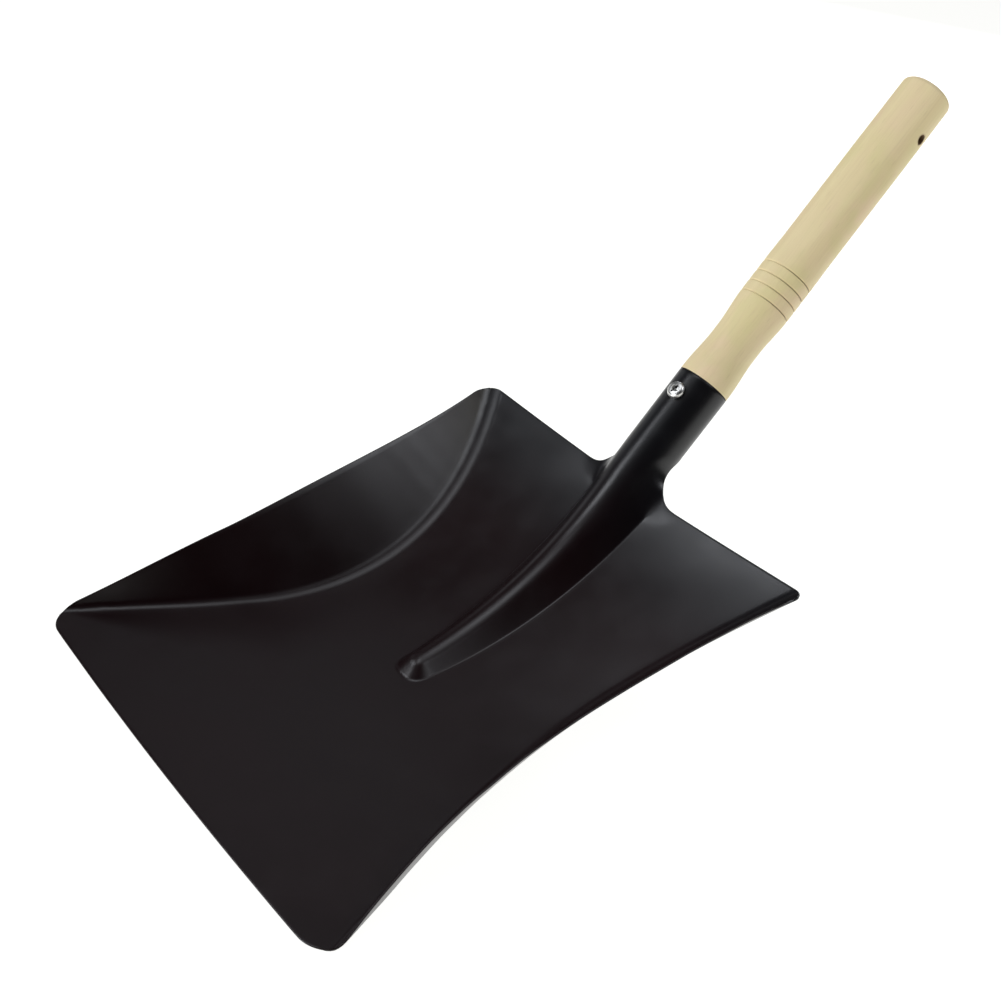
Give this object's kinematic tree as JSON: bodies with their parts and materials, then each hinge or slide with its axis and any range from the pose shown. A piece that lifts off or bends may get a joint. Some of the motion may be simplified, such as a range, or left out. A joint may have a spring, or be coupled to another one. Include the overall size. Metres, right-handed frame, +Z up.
{
  "type": "grain scoop shovel",
  "caption": "Hand scoop shovel: pressed steel pan with folded side walls, a central rib and a rolled socket holding a turned wooden handle.",
  "frame": {"origin": "underside of the flat front floor of the pan, on the centre line, 50 mm behind the corners of the front lip", "axes": "+X across the pan, +Y from the front lip towards the handle, +Z up, square to the flat front floor"},
  "size_m": [0.2618, 0.448, 0.2793],
  "materials": {
    "black_powder_coat": "satin black powder coat with a fine orange-peel texture",
    "turned_wood": "pale turned wood, lightly sanded, unlacquered",
    "plated_steel": "bright zinc or nickel plate"
  },
  "bodies": {
    "root": {"blade": "black_powder_coat", "handle": "turned_wood", "fixing_screw": "plated_steel"}
  },
  "joints": []
}
